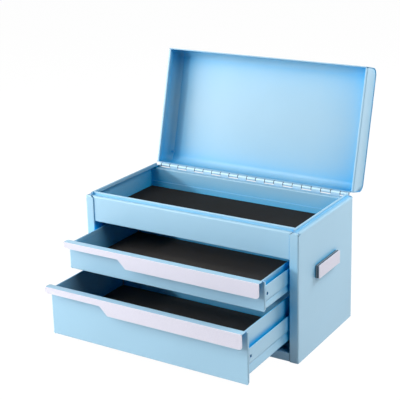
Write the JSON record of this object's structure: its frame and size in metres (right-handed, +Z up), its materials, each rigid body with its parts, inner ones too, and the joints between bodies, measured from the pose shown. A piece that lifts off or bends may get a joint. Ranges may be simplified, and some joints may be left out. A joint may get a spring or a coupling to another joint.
{
  "type": "portable tool box with drawers",
  "caption": "Sheet-steel portable tool box with a hinged lid over a matted tray, pull-out drawers on side runners and full-width pulls.",
  "frame": {"origin": "centre of the case's footprint, on the floor, at the underside of the base", "axes": "+X to the box's right seen from the front, -Y out of the drawer fronts, +Z up"},
  "size_m": [0.381, 0.3945, 0.3871],
  "materials": {
    "case_paint": "satin pale blue powder coat",
    "lid_paint": "satin pale blue powder coat",
    "front_paint": "satin pale blue powder coat",
    "drawer_paint": "satin pale blue powder coat",
    "pull_paint": "satin off-white coat",
    "mat_rubber": "matt black foam rubber",
    "rail_zinc": "zinc-plated",
    "hinge_steel": "plated and lightly painted",
    "grip_plastic": "moulded, fine texture"
  },
  "bodies": {
    "cabinet": {"side_panel_left": "case_paint", "side_panel_right": "case_paint", "front_apron": "case_paint", "back_panel": "case_paint", "base_pan": "case_paint", "tray_floor": "case_paint", "tray_mat": "mat_rubber", "slide_wall_left": "case_paint", "slide_wall_right": "case_paint", "rail_upper_left": "rail_zinc", "rail_upper_right": "rail_zinc", "rail_lower_left": "rail_zinc", "rail_lower_right": "rail_zinc", "hinge_leaf_case": "hinge_steel", "hinge_pin": "hinge_steel", "grip_frame_left": "grip_plastic", "grip_frame_right": "grip_plastic", "grip_plate_left": "pull_paint", "grip_plate_right": "pull_paint"},
    "lid": {"lid_shell": "lid_paint", "lid_end_left": "lid_paint", "lid_end_right": "lid_paint", "hinge_leaf_lid": "hinge_steel"},
    "upper_drawer": {"upper_front": "front_paint", "upper_pull": "pull_paint", "upper_pan": "drawer_paint", "upper_runner_left": "drawer_paint", "upper_runner_right": "drawer_paint", "upper_mat": "mat_rubber"},
    "lower_drawer": {"lower_front": "front_paint", "lower_pull": "pull_paint", "lower_pan": "drawer_paint", "lower_runner_left": "drawer_paint", "lower_runner_right": "drawer_paint", "lower_mat": "mat_rubber"}
  },
  "joints": [
    {"name": "lid_hinge", "type": "hinge", "parent": "cabinet", "child": "lid", "pos_m": [0, 0.0963, 0.1972], "axis": [1, 0, 0], "range_deg": [0, 104.5]},
    {"name": "upper_slide", "type": "slide", "parent": "cabinet", "child": "upper_drawer", "axis": [0, -1, 0], "range_m": [-0.078, 0.062]},
    {"name": "lower_slide", "type": "slide", "parent": "cabinet", "child": "lower_drawer", "axis": [0, -1, 0], "range_m": [-0.125, 0.015]}
  ]
}
